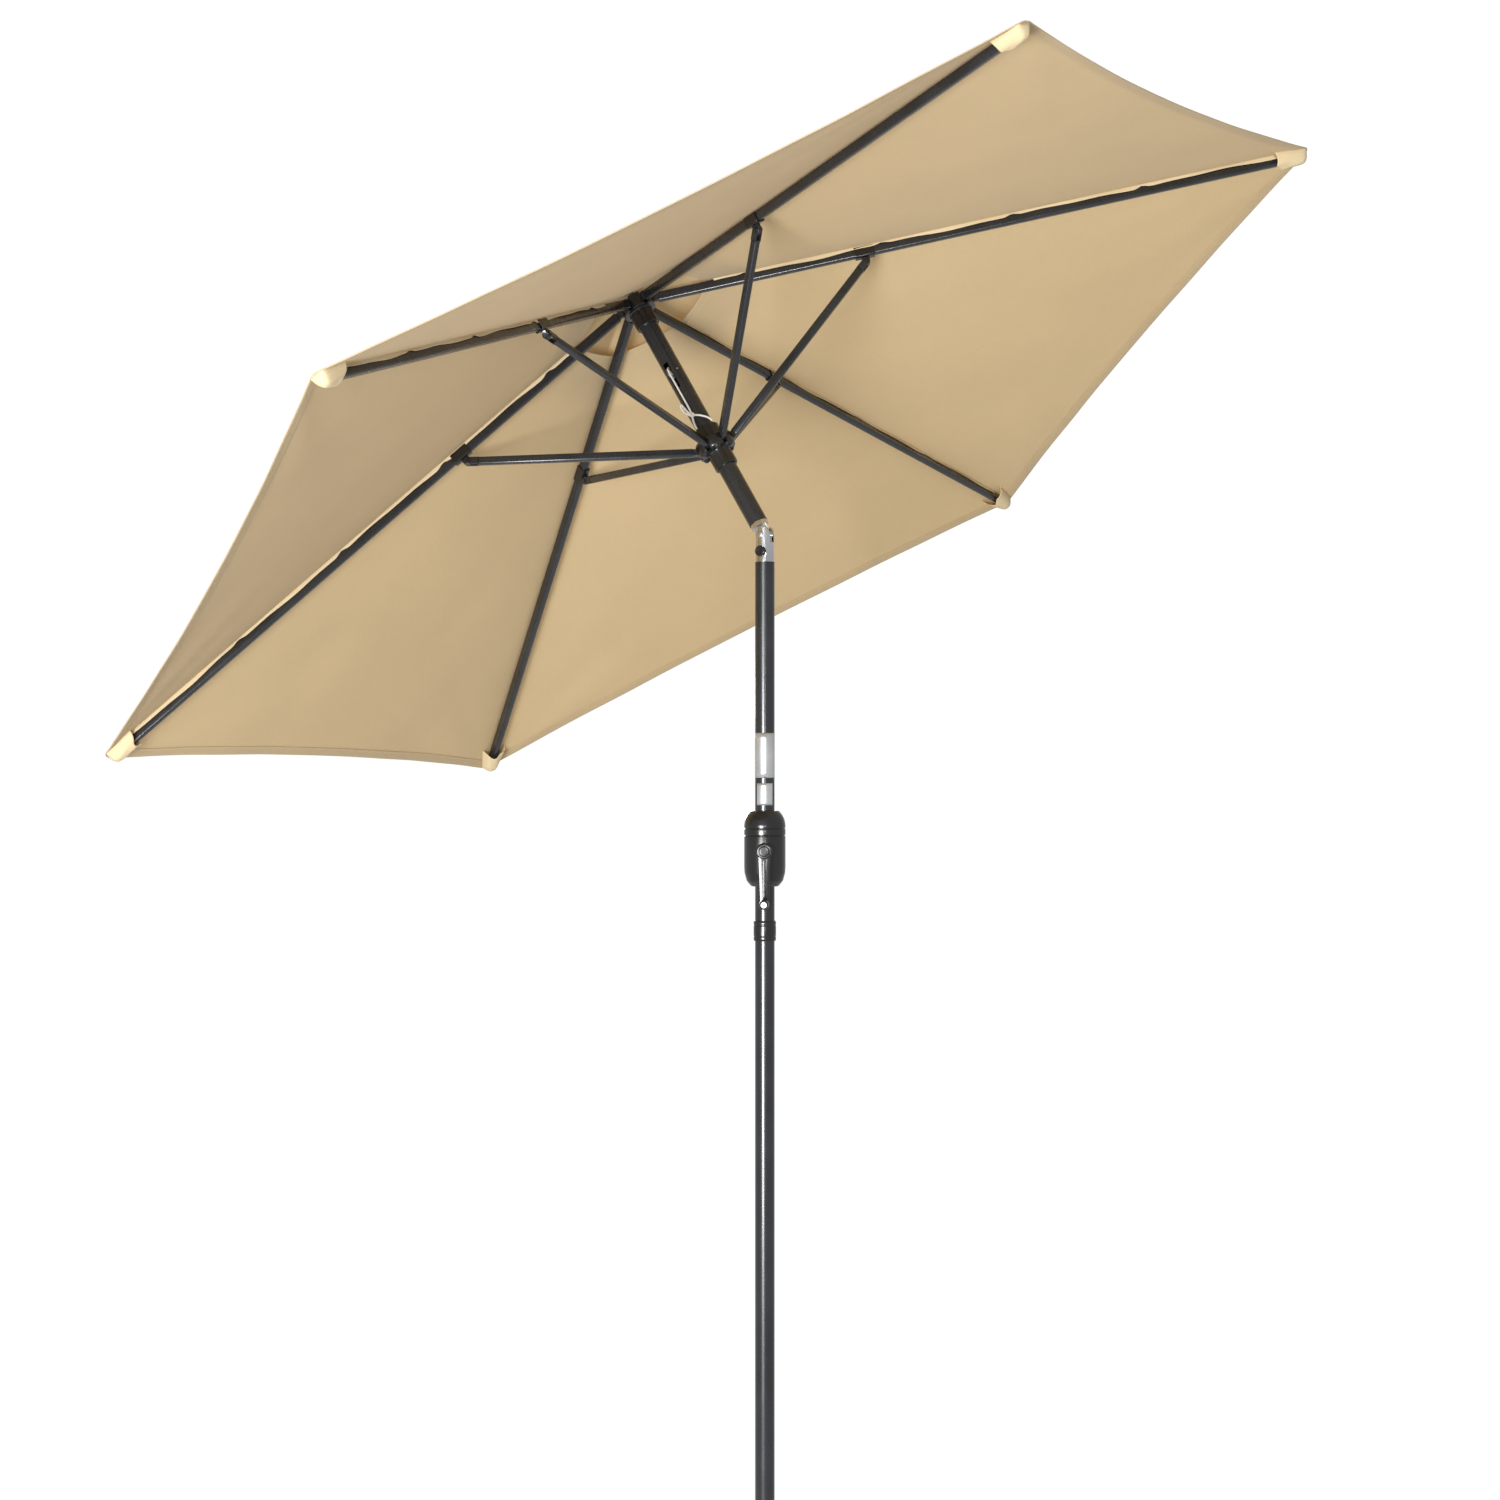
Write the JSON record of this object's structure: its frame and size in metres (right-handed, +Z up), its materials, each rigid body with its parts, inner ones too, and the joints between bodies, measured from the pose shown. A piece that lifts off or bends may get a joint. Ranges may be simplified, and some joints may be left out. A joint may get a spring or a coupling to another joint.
{
  "type": "patio umbrella with base",
  "caption": "Crank-lift market umbrella with hinged ribs and struts, push-button tilt, vented fabric canopy, two-piece pole and a round weighted base with a clamp.",
  "frame": {"origin": "centre of the base's underside, on the ground and on the lower pole's axis", "axes": "+Z up the lower pole; the tilt axis is along Y and the canopy leans towards -X, so its raised side is at +X"},
  "size_m": [1.7133, 2.2916, 2.5775],
  "materials": {
    "base_paint": "satin",
    "frame_paint": "satin",
    "black_plastic": "satin",
    "cast_chrome": "polished",
    "steel": "satin",
    "rubber": "matte",
    "white_cord": "matte",
    "canvas": "matte"
  },
  "bodies": {
    "stand": {"base_plate": "base_paint", "base_foot_pad": "rubber", "base_tube": "base_paint", "base_bolt": "steel", "lower_pole": "frame_paint", "lower_pole_plug": "black_plastic", "pole_ferrule": "steel", "pole_collar": "black_plastic", "mid_pole": "frame_paint", "housing_front": "black_plastic", "housing_rear": "black_plastic", "housing_screw_upper": "steel", "housing_screw_lower": "steel", "brake_spring": "steel", "tilt_socket": "cast_chrome", "tilt_pin": "steel", "button_spring": "steel"},
    "upper": {"tilt_knuckle": "cast_chrome", "upper_pole": "frame_paint", "pulley_pin": "steel", "crown": "black_plastic", "crown_wire": "steel", "finial": "black_plastic", "vent_cap": "canvas", "canopy_panel_1": "canvas", "canopy_panel_2": "canvas", "canopy_panel_3": "canvas", "canopy_panel_4": "canvas", "canopy_panel_5": "canvas", "canopy_panel_6": "canvas", "lift_cord": "white_cord"},
    "rib_arm_1": {"rib_1": "frame_paint", "rib_bracket_1": "black_plastic"},
    "strut_arm_1": {"strut_1": "frame_paint"},
    "rib_arm_2": {"rib_2": "frame_paint", "rib_bracket_2": "black_plastic"},
    "strut_arm_2": {"strut_2": "frame_paint"},
    "rib_arm_3": {"rib_3": "frame_paint", "rib_bracket_3": "black_plastic"},
    "strut_arm_3": {"strut_3": "frame_paint"},
    "rib_arm_4": {"rib_4": "frame_paint", "rib_bracket_4": "black_plastic"},
    "strut_arm_4": {"strut_4": "frame_paint"},
    "rib_arm_5": {"rib_5": "frame_paint", "rib_bracket_5": "black_plastic"},
    "strut_arm_5": {"strut_5": "frame_paint"},
    "rib_arm_6": {"rib_6": "frame_paint", "rib_bracket_6": "black_plastic"},
    "strut_arm_6": {"strut_6": "frame_paint"},
    "runner": {"runner": "black_plastic", "runner_wire": "steel"},
    "crank": {"crank_spool": "steel", "crank_handle": "black_plastic", "crank_cap": "black_plastic", "grip_pin": "steel"},
    "grip": {"crank_grip": "black_plastic"},
    "pulley": {"pulley_wheel": "steel"},
    "tilt_button": {"tilt_button": "black_plastic"},
    "clamp_stud": {"clamp_stud": "steel"},
    "clamp_knob": {"clamp_knob": "black_plastic"}
  },
  "joints": [
    {"name": "tilt_hinge", "type": "hinge", "parent": "stand", "child": "upper", "pos_m": [0, 0, 1.88], "axis": [0, 1, 0], "range_deg": [0, 32.6], "deforming": ["lift_cord"]},
    {"name": "canopy_fold", "type": "hinge", "parent": "upper", "child": "rib_arm_1", "pos_m": [-0.23831, 0.01286, 2.29024], "axis": [-0.4514, 0.8443, -0.2887], "range_deg": [0, 10]},
    {"name": "strut_hinge_1", "type": "hinge", "parent": "rib_arm_1", "child": "strut_arm_1", "pos_m": [0.07934, 0.20453, 2.35412], "axis": [-0.4514, 0.8443, -0.2887], "range_deg": [-18, 0]},
    {"name": "rib_hinge_2", "type": "hinge", "parent": "upper", "child": "rib_arm_2", "pos_m": [-0.25622, 0.02398, 2.27878], "axis": [-0.8417, -0.0419, -0.5383], "range_deg": [0, 10]},
    {"name": "strut_hinge_2", "type": "hinge", "parent": "rib_arm_2", "child": "strut_arm_2", "pos_m": [-0.20563, 0.38137, 2.17187], "axis": [-0.8417, -0.0419, -0.5383], "range_deg": [-18, 0]},
    {"name": "rib_hinge_3", "type": "hinge", "parent": "upper", "child": "rib_arm_3", "pos_m": [-0.2733, 0.01112, 2.26786], "axis": [-0.3903, -0.8862, -0.2496], "range_deg": [0, 10]},
    {"name": "strut_hinge_3", "type": "hinge", "parent": "rib_arm_3", "child": "strut_arm_3", "pos_m": [-0.47714, 0.17684, 1.99823], "axis": [-0.3903, -0.8862, -0.2496], "range_deg": [-18, 0]},
    {"name": "rib_hinge_4", "type": "hinge", "parent": "upper", "child": "rib_arm_4", "pos_m": [-0.27245, -0.01286, 2.26841], "axis": [0.4514, -0.8443, 0.2887], "range_deg": [0, 10]},
    {"name": "strut_hinge_4", "type": "hinge", "parent": "rib_arm_4", "child": "strut_arm_4", "pos_m": [-0.46368, -0.20453, 2.00685], "axis": [0.4514, -0.8443, 0.2887], "range_deg": [-18, 0]},
    {"name": "rib_hinge_5", "type": "hinge", "parent": "upper", "child": "rib_arm_5", "pos_m": [-0.25453, -0.02398, 2.27986], "axis": [0.8417, 0.0419, 0.5383], "range_deg": [0, 10]},
    {"name": "strut_hinge_5", "type": "hinge", "parent": "rib_arm_5", "child": "strut_arm_5", "pos_m": [-0.1787, -0.38137, 2.1891], "axis": [0.8417, 0.0419, 0.5383], "range_deg": [-18, 0]},
    {"name": "rib_hinge_6", "type": "hinge", "parent": "upper", "child": "rib_arm_6", "pos_m": [-0.23746, -0.01112, 2.29078], "axis": [0.3903, 0.8862, 0.2496], "range_deg": [0, 10]},
    {"name": "strut_hinge_6", "type": "hinge", "parent": "rib_arm_6", "child": "strut_arm_6", "pos_m": [0.09281, -0.17684, 2.36273], "axis": [0.3903, 0.8862, 0.2496], "range_deg": [-18, 0]},
    {"name": "runner_slide", "type": "slide", "parent": "upper", "child": "runner", "axis": [0.5388, 0, -0.8425], "range_m": [0, 0.1055]},
    {"name": "crank_turn", "type": "hinge", "parent": "stand", "child": "crank", "pos_m": [0, 0, 1.351], "axis": [0.5, -0.866, 0], "range_deg": [0, 763]},
    {"name": "grip_spin", "type": "hinge", "parent": "crank", "child": "grip", "pos_m": [0.03, -0.05196, 1.264], "axis": [0.5, -0.866, 0], "continuous": true},
    {"name": "pulley_spin", "type": "hinge", "parent": "upper", "child": "pulley", "pos_m": [-0.17887, -0.0087, 2.15969], "axis": [0.8425, 0, 0.5388], "range_deg": [0, 615]},
    {"name": "button_press", "type": "slide", "parent": "stand", "child": "tilt_button", "axis": [0, 1, 0], "range_m": [0, 0.003], "stiffness_N_per_m": 800, "springref_m": -0.002, "deforming": ["button_spring"]},
    {"name": "clamp_screw", "type": "slide", "parent": "stand", "child": "clamp_stud", "axis": [0.5, -0.866, 0], "range_m": [0, 0.00301]},
    {"name": "clamp_turn", "type": "hinge", "parent": "clamp_stud", "child": "clamp_knob", "pos_m": [0.023, -0.03984, 0.195], "axis": [0.5, -0.866, 0], "range_deg": [0, 720]}
  ],
  "couplings": [
    {"joint": "strut_hinge_1", "follows": "canopy_fold", "ratio": -1.7372},
    {"joint": "rib_hinge_2", "follows": "canopy_fold", "ratio": 1},
    {"joint": "strut_hinge_2", "follows": "canopy_fold", "ratio": -1.7372},
    {"joint": "rib_hinge_3", "follows": "canopy_fold", "ratio": 1},
    {"joint": "strut_hinge_3", "follows": "canopy_fold", "ratio": -1.7372},
    {"joint": "rib_hinge_4", "follows": "canopy_fold", "ratio": 1},
    {"joint": "strut_hinge_4", "follows": "canopy_fold", "ratio": -1.7372},
    {"joint": "rib_hinge_5", "follows": "canopy_fold", "ratio": 1},
    {"joint": "strut_hinge_5", "follows": "canopy_fold", "ratio": -1.7372},
    {"joint": "rib_hinge_6", "follows": "canopy_fold", "ratio": 1},
    {"joint": "strut_hinge_6", "follows": "canopy_fold", "ratio": -1.7372},
    {"joint": "runner_slide", "follows": "canopy_fold", "m_per_rad": 0.60219},
    {"joint": "crank_turn", "follows": "canopy_fold", "ratio": 76.227},
    {"joint": "pulley_spin", "follows": "canopy_fold", "ratio": 61.448},
    {"joint": "clamp_screw", "follows": "clamp_turn", "m_per_rad": 0.00023873}
  ]
}
